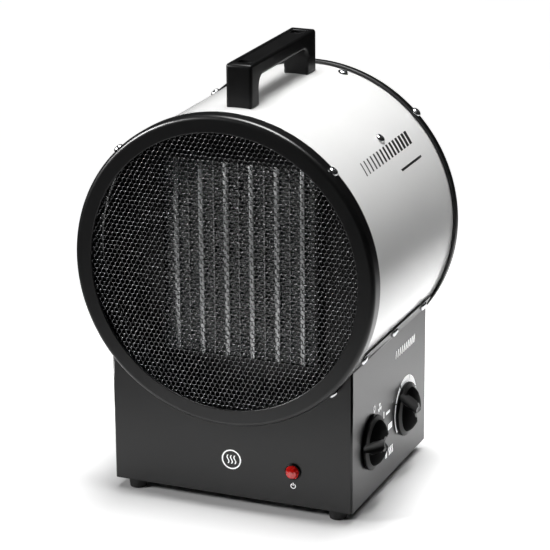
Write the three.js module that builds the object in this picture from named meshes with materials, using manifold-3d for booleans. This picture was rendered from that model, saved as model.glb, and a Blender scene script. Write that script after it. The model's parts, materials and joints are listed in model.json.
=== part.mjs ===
// Drum-shaped ceramic (PTC) fan heater on a sheet-metal base, in millimetres.
// Frame: +Z up, front faces -Y, controls on +X, origin on the floor under the middle of the drum.
import * as THREE from 'three';
import { mergeVertices } from 'three/addons/utils/BufferGeometryUtils.js';
import Module from 'manifold-3d';

const wasm = await Module();
wasm.setup();

// Drum and its two end rings
const OVERALL_DEPTH = 229;
const AXIS_HEIGHT = 229.7;
const RING_RADIUS = 145;
const OPENING_RADIUS = 129;
const FRONT_RING_DEPTH = 15;
const REAR_RING_DEPTH = 9.5;
const RING_FLANGE = 2.3;
const DRUM_RADIUS = 141.7;
const DRUM_WALL = 1;
const GAP = 0.3;
const GUARD_THICKNESS = 1;
const ROUND_SEGMENTS = 60;
const WIRE = 2.2;
const WIRE_FIRST = 36;
const WIRE_PITCH = 13;

// Base cabinet
const FOOT_HEIGHT = 10;
const BASE_WIDTH = 237;
const BASE_FRONT = -98;
const BASE_REAR = 97;
const SHEET = 1.2;
const BEND_HEIGHT = 146.2;
const FLANGE_WIDTH = 11;
const FLANGE_TILT = THREE.MathUtils.degToRad(28);
const FOOT_X = 100.5;
const FOOT_FRONT_Y = -87;
const FOOT_REAR_Y = 86;

// Handle, measured from the drum axis
const HANDLE_WIDTH = 25;
const HANDLE_TOP = 181;
const HANDLE_GRIP = 14;
const HANDLE_FRONT = -71.2;
const HANDLE_REAR = 82.8;
const FRONT_LEG = 18.5;
const REAR_LEG = 20.5;

// Controls
const KNOB_RADIUS = 25.7;
const KNOB_HEIGHT = 12;
const KNOB_LIFT = 1;
const SELECTOR_PLACE = [BASE_WIDTH / 2, -48.5, 61.8];
const THERMOSTAT_PLACE = [BASE_WIDTH / 2, 39.5, 62.6];
const SELECTOR_REST = THREE.MathUtils.degToRad(-7);
const THERMOSTAT_REST = THREE.MathUtils.degToRad(-45);
const SHAFT_RADIUS = 3;
const LAMP_PLACE = [61, BASE_FRONT, 43];
const GLAND_PLACE = [-62, BASE_REAR - GAP, 42];

// Ceramic heater block, measured from the drum axis and the front face
const BLOCK_RECESS = 38;
const BLOCK_WIDTH = 148.6;
const BLOCK_HEIGHT = 184.6;
const BLOCK_DEPTH = 26;
const ROW_COUNT = 6;
const ROW_PITCH = 24.7;
const STRIP_WIDTH = 5;
const FIN_FOLDS = 18;
const FIN_SHEET = 1.6;

// Fan and motor
const FAN_RADIUS = 132;
const FAN_HUB_RADIUS = 26;
const FAN_Y = 77;
const BLADE_COUNT = 5;
const MOTOR_RADIUS = 41;
const MOTOR_FRONT = 14;
const MOTOR_REAR = 55;
const BRACKET_Y = 18;

// Screws
const HEAD_RADIUS = 4.8;
const HEAD_HEIGHT = 2.8;
const SCREW_RADIUS = 1.9;
const SCREW_HOLE = 2.3;
const FRONT_SCREW_Y = -104.5;
const REAR_SCREW_Y = 108.5;
const QUARTERS = [45, 135, 225, 315];
const FLANGE_SCREW_YS = [-80, -1, 78];
const FLANGE_SCREW_STEP = 7.6;

const FRONT_FACE = -OVERALL_DEPTH / 2;
const REAR_FACE = OVERALL_DEPTH / 2;
const DRUM_HALF = OVERALL_DEPTH / 2 - RING_FLANGE - GUARD_THICKNESS - 2 * GAP;
const UP = new THREE.Vector3(0, 1, 0);

// ---------- solids ----------

function signedVolume(positions, index) {
  const corners = [new THREE.Vector3(), new THREE.Vector3(), new THREE.Vector3()];
  let total = 0;
  for (let i = 0; i < index.length; i += 3) {
    corners.forEach((corner, k) => corner.fromArray(positions, 3 * index[i + k]));
    total += corners[0].dot(corners[1].cross(corners[2]));
  }
  return total;
}

// Turns a closed three.js geometry into a solid whose faces point outwards.
function solid(geometry) {
  const bare = geometry.clone();
  bare.deleteAttribute('normal');
  bare.deleteAttribute('uv');
  const merged = mergeVertices(bare, 1e-3);
  const positions = Float32Array.from(merged.attributes.position.array);
  const index = [];
  for (let i = 0; i < merged.index.count; i += 3) {
    const [a, b, c] = [0, 1, 2].map((k) => merged.index.getX(i + k));
    if (a !== b && b !== c && c !== a) index.push(a, b, c);
  }
  if (signedVolume(positions, index) < 0) index.reverse();
  const mesh = new wasm.Mesh({
    numProp: 3,
    vertProperties: positions,
    triVerts: Uint32Array.from(index),
  });
  return new wasm.Manifold(mesh);
}

function join(...pieces) {
  return pieces.reduce((whole, piece) => whole.add(piece));
}

function cut(whole, ...cutters) {
  return cutters.reduce((left, cutter) => left.subtract(cutter), whole);
}

function moved(geometry, at, turn = [0, 0, 0]) {
  const place = new THREE.Matrix4().makeRotationFromEuler(new THREE.Euler(...turn));
  place.setPosition(...at);
  return geometry.applyMatrix4(place);
}

function box(low, high) {
  const size = high.map((value, i) => value - low[i]);
  const middle = high.map((value, i) => (value + low[i]) / 2);
  return solid(moved(new THREE.BoxGeometry(...size), middle));
}

// A cylinder between two points.
function rod(radius, from, to, segments = 16) {
  const start = new THREE.Vector3(...from);
  const along = new THREE.Vector3(...to).sub(start);
  const geometry = new THREE.CylinderGeometry(radius, radius, along.length(), segments);
  const turn = new THREE.Quaternion().setFromUnitVectors(UP, along.clone().normalize());
  const place = new THREE.Matrix4().makeRotationFromQuaternion(turn);
  place.setPosition(start.addScaledVector(along, 0.5));
  return solid(geometry.applyMatrix4(place));
}

// Revolves [radius, height] points about the Y axis; the outline may start and end on the axis.
function turned(points, segments = 24) {
  const outline = points.map(([radius, height]) => new THREE.Vector2(radius, height));
  const closes = points[0][0] > 0;
  if (closes) outline.push(outline[0].clone());
  return solid(new THREE.LatheGeometry(outline, segments));
}

// Extrudes a shape drawn in X and Z between two Y planes.
function plateXZ(shape, yLow, yHigh, curveSegments = 24) {
  const geometry = new THREE.ExtrudeGeometry(shape, {
    depth: yHigh - yLow,
    bevelEnabled: false,
    curveSegments,
  });
  return solid(moved(geometry, [0, yHigh, 0], [Math.PI / 2, 0, 0]));
}

function polygon(points) {
  return new THREE.Shape(points.map(([x, y]) => new THREE.Vector2(x, y)));
}

// A point on the drum at an angle from +X towards +Z.
function radial(radius, degrees, y) {
  const angle = THREE.MathUtils.degToRad(degrees);
  return [radius * Math.cos(angle), y, radius * Math.sin(angle)];
}

function radialHoles(angles, y, low = DRUM_RADIUS - 5, high = RING_RADIUS + 5) {
  return angles.map((angle) => rod(SCREW_HOLE, radial(low, angle, y), radial(high, angle, y), 8));
}

// ---------- finishes and meshes ----------

const finishes = {
  blackSteel: { color: 0x18191b, roughness: 0.42, metalness: 0.1 },
  whiteSteel: { color: 0xe9eaea, roughness: 0.32, metalness: 0.1 },
  blackPlastic: { color: 0x0d0d0e, roughness: 0.45, metalness: 0 },
  rubber: { color: 0x111111, roughness: 0.9, metalness: 0 },
  zinc: { color: 0xc4c6c8, roughness: 0.28, metalness: 1 },
  aluminium: { color: 0xb9bbbd, roughness: 0.35, metalness: 1 },
  redLens: { color: 0xd0140f, roughness: 0.15, metalness: 0 },
  whitePlastic: { color: 0xdedcd4, roughness: 0.5, metalness: 0 },
  motorSteel: { color: 0x4b4e52, roughness: 0.5, metalness: 0.8 },
};

function named(name, piece, finish) {
  const data = piece.getMesh();
  const geometry = new THREE.BufferGeometry();
  geometry.setAttribute('position', new THREE.BufferAttribute(Float32Array.from(data.vertProperties), 3));
  geometry.setIndex(new THREE.BufferAttribute(Uint32Array.from(data.triVerts), 1));
  geometry.computeVertexNormals();
  const mesh = new THREE.Mesh(geometry, new THREE.MeshStandardMaterial(finishes[finish]));
  mesh.name = name;
  return mesh;
}

function placed(mesh, at, direction = null) {
  mesh.position.set(...at);
  if (direction) mesh.quaternion.setFromUnitVectors(UP, new THREE.Vector3(...direction).normalize());
  return mesh;
}

// ---------- drum assembly (origin on the drum axis) ----------

function screw(shank) {
  return turned([
    [0, -shank],
    [SCREW_RADIUS, -shank],
    [SCREW_RADIUS, 0],
    [HEAD_RADIUS, 0],
    [HEAD_RADIUS - 0.4, HEAD_HEIGHT * 0.55],
    [HEAD_RADIUS * 0.5, HEAD_HEIGHT],
    [0, HEAD_HEIGHT],
  ], 10);
}

function screwMesh(name, at, direction, shank) {
  return placed(named(name, screw(shank), 'zinc'), at, direction);
}

// The flange runs up and outwards from the bend of the side panel, seen in X and Z.
function flangePoint(along, out) {
  const [sin, cos] = [Math.sin(FLANGE_TILT), Math.cos(FLANGE_TILT)];
  return [BASE_WIDTH / 2 + along * sin + out * cos, BEND_HEIGHT + along * cos - out * sin];
}

function flangeHoles(side) {
  const [xOut, zOut] = flangePoint(FLANGE_SCREW_STEP, 4);
  const [xIn, zIn] = flangePoint(FLANGE_SCREW_STEP, -8);
  return FLANGE_SCREW_YS.map((y) => rod(SCREW_HOLE, [side * xIn, y, zIn], [side * xOut, y, zOut], 8));
}

function drumShell() {
  const inner = DRUM_RADIUS - DRUM_WALL;
  const tube = turned([
    [inner, -DRUM_HALF],
    [DRUM_RADIUS, -DRUM_HALF],
    [DRUM_RADIUS, DRUM_HALF],
    [inner, DRUM_HALF],
  ], ROUND_SEGMENTS);
  const wireHole = rod(14, [0, 0, -DRUM_RADIUS - 5], [0, 0, -DRUM_RADIUS + 5], 20);
  const shifted = [1, -1].flatMap((side) => flangeHoles(side)).map((hole) => hole.translate([0, 0, -AXIS_HEIGHT]));
  return cut(
    tube,
    wireHole,
    ...radialHoles(QUARTERS, FRONT_SCREW_Y),
    ...radialHoles(QUARTERS, REAR_SCREW_Y),
    ...radialHoles([45, 135], BRACKET_Y),
    ...radialHoles([76], 95.5),
    ...shifted,
  );
}

// An end ring: a flat face with a rounded outer edge and a collar over the drum.
// sign is -1 at the front and +1 at the rear.
function endRing(sign, depth, screwY) {
  const face = sign * OVERALL_DEPTH / 2;
  const inward = (distance) => face - sign * distance;
  const collar = DRUM_RADIUS + GAP + 0.1;
  const ring = turned([
    [OPENING_RADIUS, inward(RING_FLANGE)],
    [OPENING_RADIUS, inward(0.9)],
    [OPENING_RADIUS + 1, inward(0)],
    [RING_RADIUS - 4, inward(0)],
    [RING_RADIUS - 1.1, inward(1.3)],
    [RING_RADIUS, inward(4)],
    [RING_RADIUS, inward(depth)],
    [collar, inward(depth)],
    [collar, inward(RING_FLANGE)],
  ], ROUND_SEGMENTS);
  return cut(ring, ...radialHoles(QUARTERS, screwY));
}

function frontGuard() {
  const back = FRONT_FACE + RING_FLANGE + GAP + GUARD_THICKNESS;
  return turned([
    [0, back - GUARD_THICKNESS],
    [DRUM_RADIUS - 0.6, back - GUARD_THICKNESS],
    [DRUM_RADIUS - 0.6, back],
    [0, back],
  ], ROUND_SEGMENTS);
}

// Welded wire guard over the air intake: rim, concentric rings, a boss and four spokes.
function rearGuard() {
  const y = REAR_FACE - RING_FLANGE - GAP - GUARD_THICKNESS / 2;
  const band = (radius, halfWidth, halfDepth) => turned([
    [radius - halfWidth, y - halfDepth],
    [radius + halfWidth, y - halfDepth],
    [radius + halfWidth, y + halfDepth],
    [radius - halfWidth, y + halfDepth],
  ], radius < 80 ? 16 : 28);
  const parts = [band(DRUM_RADIUS - 2.6, 2, GUARD_THICKNESS / 2)];
  for (let radius = WIRE_FIRST; radius < OPENING_RADIUS; radius += WIRE_PITCH) {
    parts.push(band(radius, WIRE / 2, WIRE / 2));
  }
  parts.push(rod(24, [0, y - 1, 0], [0, y + 1, 0], 24));
  for (const angle of [0, 90]) {
    const spoke = new THREE.BoxGeometry(2 * (DRUM_RADIUS - 3), GUARD_THICKNESS, 3);
    parts.push(solid(moved(spoke, [0, y, 0], [0, THREE.MathUtils.degToRad(angle + 45), 0])));
  }
  return join(...parts);
}

// Moulded bridge handle whose feet follow the drum.
function handle() {
  const bevel = 2;
  const inset = (value, sign) => value + sign * bevel;
  const under = HANDLE_TOP - HANDLE_GRIP;
  const corner = 10;
  const foot = DRUM_RADIUS - 12;
  const [front, rear] = [inset(HANDLE_FRONT, 1), inset(HANDLE_REAR, -1)];
  const [top, gripUnder] = [inset(HANDLE_TOP, -1), inset(under, 1)];
  const [innerFront, innerRear] = [HANDLE_FRONT + FRONT_LEG - bevel, HANDLE_REAR - REAR_LEG + bevel];
  const side = new THREE.Shape();
  side.moveTo(front, foot);
  side.lineTo(innerFront, foot);
  side.lineTo(innerFront, gripUnder - corner);
  side.absarc(innerFront + corner, gripUnder - corner, corner, Math.PI, Math.PI / 2, true);
  side.lineTo(innerRear - corner, gripUnder);
  side.absarc(innerRear - corner, gripUnder - corner, corner, Math.PI / 2, 0, true);
  side.lineTo(innerRear, foot);
  side.lineTo(rear, foot);
  side.lineTo(rear, top);
  side.lineTo(front, top);
  const geometry = new THREE.ExtrudeGeometry(side, {
    depth: HANDLE_WIDTH - 2 * bevel,
    bevelThickness: bevel,
    bevelSize: bevel,
    bevelSegments: 2,
    curveSegments: 6,
  });
  // The outline is drawn in Y and Z and extruded along X.
  const basis = new THREE.Matrix4().makeBasis(
    new THREE.Vector3(0, 1, 0),
    new THREE.Vector3(0, 0, 1),
    new THREE.Vector3(1, 0, 0),
  );
  geometry.translate(0, 0, bevel - HANDLE_WIDTH / 2);
  const body = solid(geometry.applyMatrix4(basis));
  const drum = turned([
    [0, HANDLE_FRONT - 10],
    [DRUM_RADIUS + GAP, HANDLE_FRONT - 10],
    [DRUM_RADIUS + GAP, HANDLE_REAR + 10],
    [0, HANDLE_REAR + 10],
  ], 144);
  const recess = box(
    [-HANDLE_WIDTH / 2 + 5, HANDLE_FRONT + 8, HANDLE_TOP - 1.2],
    [HANDLE_WIDTH / 2 - 5, HANDLE_REAR - 8, HANDLE_TOP + 5],
  );
  return cut(body, drum, recess);
}

function drumScrews() {
  const screws = [];
  QUARTERS.forEach((angle, i) => {
    const out = radial(1, angle, 0);
    const head = RING_RADIUS + 0.2;
    screws.push(screwMesh(`front_ring_screw_${i + 1}`, radial(head, angle, FRONT_SCREW_Y), out, 6.5));
    screws.push(screwMesh(`rear_ring_screw_${i + 1}`, radial(head, angle, REAR_SCREW_Y), out, 6.5));
  });
  [45, 135].forEach((angle, i) => {
    const at = radial(DRUM_RADIUS + 0.2, angle, BRACKET_Y);
    screws.push(screwMesh(`bracket_screw_${i + 1}`, at, radial(1, angle, 0), 6));
  });
  const seam = radial(DRUM_RADIUS + 0.2, 76, 95.5);
  screws.push(screwMesh('drum_seam_screw', seam, radial(1, 76, 0), 5));
  return screws;
}

// ---------- ceramic heater block ----------

const BLOCK_FRONT = FRONT_FACE + BLOCK_RECESS;

function rectangle(width, height) {
  const [x, z] = [width / 2, height / 2];
  return polygon([[-x, -z], [x, -z], [x, z], [-x, z]]);
}

function heaterFrame() {
  const outline = rectangle(BLOCK_WIDTH + 5, BLOCK_HEIGHT + 5);
  outline.holes.push(rectangle(BLOCK_WIDTH, BLOCK_HEIGHT));
  return plateXZ(outline, BLOCK_FRONT, BLOCK_FRONT + BLOCK_DEPTH);
}

// Round baffle that carries the frame and sends all the air through the block.
function heaterBaffle() {
  const window = [BLOCK_WIDTH + 5 + 2 * GAP, BLOCK_HEIGHT + 5 + 2 * GAP];
  const disc = turned([
    [0, BLOCK_FRONT + 10],
    [DRUM_RADIUS - DRUM_WALL - 0.7, BLOCK_FRONT + 10],
    [DRUM_RADIUS - DRUM_WALL - 0.7, BLOCK_FRONT + 11.2],
    [0, BLOCK_FRONT + 11.2],
  ], ROUND_SEGMENTS);
  return cut(disc, plateXZ(rectangle(...window), BLOCK_FRONT, BLOCK_FRONT + BLOCK_DEPTH));
}

// Ceramic stones between flat electrodes, in one upright strip with its terminal tab.
function ceramicStrip() {
  const half = BLOCK_HEIGHT / 2 - GAP;
  const body = box([-STRIP_WIDTH / 2, 3, -half], [STRIP_WIDTH / 2, BLOCK_DEPTH - 3, half]);
  const tab = box([-0.4, BLOCK_DEPTH - 4, half - 14], [0.4, BLOCK_DEPTH + 9, half - 6]);
  return join(body, tab);
}

// Folded aluminium fins, seen in X and Z as one zigzag ribbon.
function finPack(width) {
  const half = BLOCK_HEIGHT / 2 - GAP;
  const step = (2 * half) / FIN_FOLDS;
  const side = [];
  for (let i = 0; i <= FIN_FOLDS; i += 1) {
    side.push([i % 2 ? width / 2 - FIN_SHEET : -width / 2, -half + i * step]);
  }
  const other = side.map(([x, z]) => [x + FIN_SHEET, z]).reverse();
  return plateXZ(polygon([...side, ...other]), 4, BLOCK_DEPTH - 4);
}

function heaterCore() {
  const core = new THREE.Group();
  core.position.y = BLOCK_FRONT;
  const first = -ROW_PITCH * (ROW_COUNT - 1) / 2;
  for (let i = 0; i < ROW_COUNT; i += 1) {
    const strip = named(`ceramic_strip_${i + 1}`, ceramicStrip(), 'aluminium');
    core.add(placed(strip, [first + i * ROW_PITCH, 0, 0]));
  }
  const full = ROW_PITCH - STRIP_WIDTH - 2 * GAP;
  for (let i = 1; i < ROW_COUNT; i += 1) {
    const pack = named(`fin_pack_${i + 1}`, finPack(full), 'aluminium');
    core.add(placed(pack, [first + (i - 0.5) * ROW_PITCH, 0, 0]));
  }
  const inside = -first + STRIP_WIDTH / 2 + GAP;
  const outside = BLOCK_WIDTH / 2 - GAP;
  const middle = (inside + outside) / 2;
  const endPack = () => finPack(outside - inside);
  core.add(placed(named('fin_pack_1', endPack(), 'aluminium'), [-middle, 0, 0]));
  core.add(placed(named(`fin_pack_${ROW_COUNT + 1}`, endPack(), 'aluminium'), [middle, 0, 0]));
  return core;
}

// Snap-action overheat cut-out on the rear of the baffle, above the block.
function thermalCutout() {
  const y = BLOCK_FRONT + 11.2 + GAP;
  const can = rod(8.5, [0, y, 112], [0, y + 9, 112], 20);
  const ears = box([-15, y, 108], [15, y + 1.2, 116]);
  const tabs = [-4, 4].map((x) => box([x - 0.4, y + 8, 109], [x + 0.4, y + 17, 115]));
  return join(can, ears, ...tabs);
}

// ---------- fan and motor ----------

// One twisted blade: a slab bent onto the fan's cylinders with its pitch easing towards the tip.
function blade(degrees) {
  const geometry = new THREE.BoxGeometry(1, 1, 1, 4, 3, 1);
  const position = geometry.attributes.position;
  const start = THREE.MathUtils.degToRad(degrees);
  for (let i = 0; i < position.count; i += 1) {
    const out = position.getX(i) + 0.5;
    const across = position.getY(i);
    const radius = THREE.MathUtils.lerp(FAN_HUB_RADIUS - 3, FAN_RADIUS, out);
    const pitch = THREE.MathUtils.degToRad(THREE.MathUtils.lerp(42, 24, out));
    const chord = THREE.MathUtils.lerp(34, 74, Math.sqrt(out));
    const lift = position.getZ(i) * 1.8 + 5 * (0.25 - across * across);
    const along = across * chord * Math.cos(pitch) - lift * Math.sin(pitch);
    const angle = start + along / radius;
    const y = across * chord * Math.sin(pitch) + lift * Math.cos(pitch);
    position.setXYZ(i, radius * Math.cos(angle), FAN_Y + y, radius * Math.sin(angle));
  }
  return solid(geometry);
}

function fanBlades() {
  const hub = turned([
    [SHAFT_RADIUS + 1.3, FAN_Y - 14],
    [FAN_HUB_RADIUS, FAN_Y - 14],
    [FAN_HUB_RADIUS, FAN_Y + 10],
    [FAN_HUB_RADIUS - 5, FAN_Y + 14],
    [SHAFT_RADIUS + 1.3, FAN_Y + 14],
  ], 30);
  const blades = [];
  for (let i = 0; i < BLADE_COUNT; i += 1) blades.push(blade(90 + (i * 360) / BLADE_COUNT));
  const bore = rod(SHAFT_RADIUS + 1.3, [0, FAN_Y - 40, 0], [0, FAN_Y + 40, 0], 30);
  return cut(join(hub, ...blades), bore);
}

function motorBody() {
  const bore = SHAFT_RADIUS + 1.4;
  return turned([
    [0, MOTOR_FRONT],
    [MOTOR_RADIUS - 4, MOTOR_FRONT],
    [MOTOR_RADIUS, MOTOR_FRONT + 4],
    [MOTOR_RADIUS, MOTOR_REAR - 8],
    [MOTOR_RADIUS - 6, MOTOR_REAR - 3],
    [12, MOTOR_REAR - 3],
    [12, MOTOR_REAR],
    [bore, MOTOR_REAR],
    [bore, MOTOR_FRONT + 6],
    [0, MOTOR_FRONT + 6],
  ], 28);
}

// Four-armed bracket whose bent feet are screwed to the inside of the drum.
function motorBracket() {
  const face = MOTOR_FRONT - GAP;
  const reach = DRUM_RADIUS - DRUM_WALL - 0.7;
  const parts = [rod(34, [0, face - 2, 0], [0, face, 0], 28)];
  for (const degrees of QUARTERS) {
    const turn = [0, -THREE.MathUtils.degToRad(degrees), 0];
    const arm = new THREE.BoxGeometry(reach - 20, 2, 16);
    const foot = new THREE.BoxGeometry(1.6, 16, 16);
    const armMiddle = (reach + 20) / 2 - 0.8;
    parts.push(solid(moved(moved(arm, [armMiddle, face - 1, 0]), [0, 0, 0], turn)));
    parts.push(solid(moved(moved(foot, [reach - 1.6, face + 6, 0]), [0, 0, 0], turn)));
  }
  return cut(join(...parts), ...radialHoles(QUARTERS, BRACKET_Y));
}

function motorShaft() {
  return rod(SHAFT_RADIUS + 1, [0, MOTOR_FRONT + 8, 0], [0, FAN_Y + 20, 0], 20);
}

// ---------- base cabinet ----------

// Outline of the front and rear panels: straight sides and a top that follows the drum.
function panelOutline(halfWidth) {
  const radius = DRUM_RADIUS + 0.5;
  const drop = AXIS_HEIGHT - BEND_HEIGHT;
  const shoulder = Math.sqrt(radius * radius - drop * drop);
  const start = Math.atan2(-drop, shoulder);
  const shape = new THREE.Shape();
  shape.moveTo(-halfWidth, FOOT_HEIGHT);
  shape.lineTo(halfWidth, FOOT_HEIGHT);
  shape.lineTo(halfWidth, BEND_HEIGHT);
  shape.lineTo(shoulder, BEND_HEIGHT);
  shape.absarc(0, AXIS_HEIGHT, radius, start, -Math.PI - start, true);
  shape.lineTo(-halfWidth, BEND_HEIGHT);
  return shape;
}

function sidePanel(side) {
  const outline = [
    [BASE_WIDTH / 2 - SHEET, FOOT_HEIGHT],
    [BASE_WIDTH / 2, FOOT_HEIGHT],
    [BASE_WIDTH / 2, BEND_HEIGHT],
    flangePoint(FLANGE_WIDTH, 0),
    flangePoint(FLANGE_WIDTH, -SHEET),
    [BASE_WIDTH / 2 - SHEET, BEND_HEIGHT + 0.3],
  ];
  return plateXZ(polygon(outline.map(([x, z]) => [side * x, z])), BASE_FRONT, BASE_REAR);
}

function controlHole(place, radius) {
  const [x, y, z] = place;
  return rod(radius, [x - 6, y, z], [x + 6, y, z], 20);
}

function baseWrap() {
  const front = plateXZ(panelOutline(BASE_WIDTH / 2), BASE_FRONT, BASE_FRONT + SHEET);
  const [lampX, lampY, lampZ] = LAMP_PLACE;
  return cut(
    join(front, sidePanel(1), sidePanel(-1)),
    controlHole(SELECTOR_PLACE, 5.8),
    controlHole(THERMOSTAT_PLACE, 5.8),
    rod(5.8, [lampX, lampY - 5, lampZ], [lampX, lampY + 5, lampZ], 20),
    ...flangeHoles(1),
    ...flangeHoles(-1),
  );
}

function baseRearPanel() {
  const [x, y, z] = GLAND_PLACE;
  const sheet = plateXZ(panelOutline(BASE_WIDTH / 2 - SHEET - GAP), y - SHEET, y);
  return cut(sheet, rod(8.4, [x, y - 5, z], [x, y + 5, z], 20));
}

// Shallow tray that closes the bottom and carries the feet.
function baseFloor() {
  const x = BASE_WIDTH / 2 - SHEET - GAP;
  const [front, rear] = [BASE_FRONT + SHEET + GAP, BASE_REAR - SHEET - 2 * GAP];
  const outside = box([-x, front, FOOT_HEIGHT], [x, rear, FOOT_HEIGHT + 14]);
  const inside = box(
    [-x + SHEET, front + SHEET, FOOT_HEIGHT + SHEET],
    [x - SHEET, rear - SHEET, FOOT_HEIGHT + 20],
  );
  return cut(outside, inside);
}

function foot() {
  const top = FOOT_HEIGHT - GAP;
  return turned([
    [0, 0],
    [7.6, 0],
    [8.2, 0.8],
    [8.8, top],
    [0, top],
  ], 20);
}

function feet() {
  const corners = [
    ['foot_front_left', -FOOT_X, FOOT_FRONT_Y],
    ['foot_front_right', FOOT_X, FOOT_FRONT_Y],
    ['foot_rear_left', -FOOT_X, FOOT_REAR_Y],
    ['foot_rear_right', FOOT_X, FOOT_REAR_Y],
  ];
  return corners.map(([name, x, y]) => placed(named(name, foot(), 'rubber'), [x, y, 0], [0, 0, 1]));
}

function flangeScrews() {
  const [x, z] = flangePoint(FLANGE_SCREW_STEP, 0.2);
  const sides = [['right', 1], ['left', -1]];
  return sides.flatMap(([word, side]) => FLANGE_SCREW_YS.map((y, i) => screwMesh(
    `flange_screw_${word}_${i + 1}`,
    [side * x, y, z],
    [side * Math.cos(FLANGE_TILT), 0, -Math.sin(FLANGE_TILT)],
    6,
  )));
}

// ---------- controls ----------

// Winged knob about the local Y axis, with a finger scoop on each side of its wings.
function knob() {
  const body = turned([
    [0, 0],
    [KNOB_RADIUS, 0],
    [KNOB_RADIUS, 3],
    [KNOB_RADIUS - 1.2, 3.9],
    [21.2, 5.2],
    [18.6, 8],
    [14.6, 10.4],
    [10, 11.6],
    [7, KNOB_HEIGHT],
    [0, KNOB_HEIGHT],
  ], 32);
  const scoop = (sign) => {
    const ball = new THREE.SphereGeometry(1, 16, 10).scale(16.4, 16.4, 9);
    return solid(moved(ball, [sign * 21, 20.8, 0]));
  };
  const bore = rod(SHAFT_RADIUS + GAP, [0, -5, 0], [0, 10, 0], 16);
  return cut(body, scoop(1), scoop(-1), bore);
}

function controlShaft() {
  return rod(SHAFT_RADIUS, [0, -12, 0], [0, KNOB_LIFT + 9.5, 0], 16);
}

// The body sits behind the panel; its neck passes through the panel's hole.
function withNeck(body) {
  const neck = rod(5.2, [0, -SHEET - 2, 0], [0, 0.6, 0], 16);
  const bore = rod(SHAFT_RADIUS + GAP, [0, -14, 0], [0, 5, 0], 16);
  return cut(join(body, neck), bore);
}

function switchBody() {
  return withNeck(box([-21, -34, -21], [21, -SHEET - GAP, 21]));
}

function thermostatBody() {
  const can = rod(17, [0, -26, 0], [0, -SHEET - GAP, 0], 24);
  const tabs = box([-9, -36, -0.8], [9, -25, 0.8]);
  return withNeck(join(can, tabs));
}

// A control stands on the side panel with its axis along +X; turn is the knob's resting angle.
function control(name, place, bodyPiece, turn) {
  const group = new THREE.Group();
  group.position.set(...place);
  group.rotation.z = -Math.PI / 2;
  const cap = named(`${name}_knob`, knob(), 'blackPlastic');
  cap.position.y = KNOB_LIFT;
  cap.rotation.y = turn;
  group.add(cap);
  group.add(named(`${name}_shaft`, controlShaft(), 'zinc'));
  group.add(named(`${name}_body`, bodyPiece, 'whitePlastic'));
  return group;
}

function lampLens() {
  return turned([
    [0, 1.3],
    [6.4, 1.3],
    [6.9, 2.6],
    [5.4, 5.4],
    [3, 6.8],
    [0, 7.2],
  ], 16);
}

function lampBody() {
  return turned([
    [0, -22],
    [5, -22],
    [5.3, 0.4],
    [7.4, 0.4],
    [7.4, 2.2],
    [7.2, 2.4],
    [7.2, 1],
    [0, 1],
  ], 20);
}

function pilotLamp() {
  const group = new THREE.Group();
  group.position.set(...LAMP_PLACE);
  group.rotation.x = Math.PI;
  group.add(named('pilot_lamp_lens', lampLens(), 'redLens'));
  group.add(named('pilot_lamp_body', lampBody(), 'blackPlastic'));
  return group;
}

// Cable inlet with an open bore and a hexagonal collar, along +Y from the rear panel.
function cableInlet() {
  const bore = 5;
  const sleeve = turned([
    [bore, -7],
    [8, -7],
    [8, 0.4],
    [11, 0.4],
    [11, 7],
    [9.5, 13.5],
    [bore, 16.5],
  ], 20);
  const hexagon = turned([
    [bore, 0.4],
    [12.6, 0.4],
    [12.6, 5],
    [bore, 5],
  ], 6);
  return cut(join(sleeve, hexagon), rod(bore, [0, -10, 0], [0, 20, 0], 20));
}

function terminalBlock() {
  const z = FOOT_HEIGHT + SHEET + GAP;
  const block = box([-30, 40, z], [30, 60, z + 17]);
  const slots = [-20, -10, 0, 10, 20].map((x) => box([x - 3, 39, z + 10], [x + 3, 61, z + 20]));
  return cut(block, ...slots);
}

// ---------- assembly ----------

const drum = new THREE.Group();
drum.position.z = AXIS_HEIGHT;
drum.add(
  named('drum_shell', drumShell(), 'whiteSteel'),
  named('front_ring', endRing(-1, FRONT_RING_DEPTH, FRONT_SCREW_Y), 'blackSteel'),
  named('rear_ring', endRing(1, REAR_RING_DEPTH, REAR_SCREW_Y), 'blackSteel'),
  named('front_mesh_guard', frontGuard(), 'blackSteel'),
  named('rear_wire_guard', rearGuard(), 'blackSteel'),
  named('handle', handle(), 'blackPlastic'),
  named('heater_frame', heaterFrame(), 'blackSteel'),
  named('heater_baffle', heaterBaffle(), 'blackSteel'),
  named('thermal_cutout', thermalCutout(), 'whitePlastic'),
  named('fan_blades', fanBlades(), 'aluminium'),
  named('fan_shaft', motorShaft(), 'zinc'),
  named('motor_body', motorBody(), 'motorSteel'),
  named('motor_bracket', motorBracket(), 'zinc'),
  heaterCore(),
  ...drumScrews(),
);

const heater = new THREE.Group();
heater.add(
  drum,
  named('base_wrap', baseWrap(), 'blackSteel'),
  named('base_rear_panel', baseRearPanel(), 'blackSteel'),
  named('base_floor', baseFloor(), 'blackSteel'),
  ...feet(),
  ...flangeScrews(),
  control('selector', SELECTOR_PLACE, switchBody(), SELECTOR_REST),
  control('thermostat', THERMOSTAT_PLACE, thermostatBody(), THERMOSTAT_REST),
  pilotLamp(),
  placed(named('cable_inlet', cableInlet(), 'blackPlastic'), GLAND_PLACE),
  named('terminal_block', terminalBlock(), 'whitePlastic'),
);

export default heater;
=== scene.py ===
import json
import math

import bmesh
import bpy
from bpy.props import FloatProperty, FloatVectorProperty, IntProperty, PointerProperty
from bpy.types import Operator, Panel, PropertyGroup
from mathutils import Matrix, Vector

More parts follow.
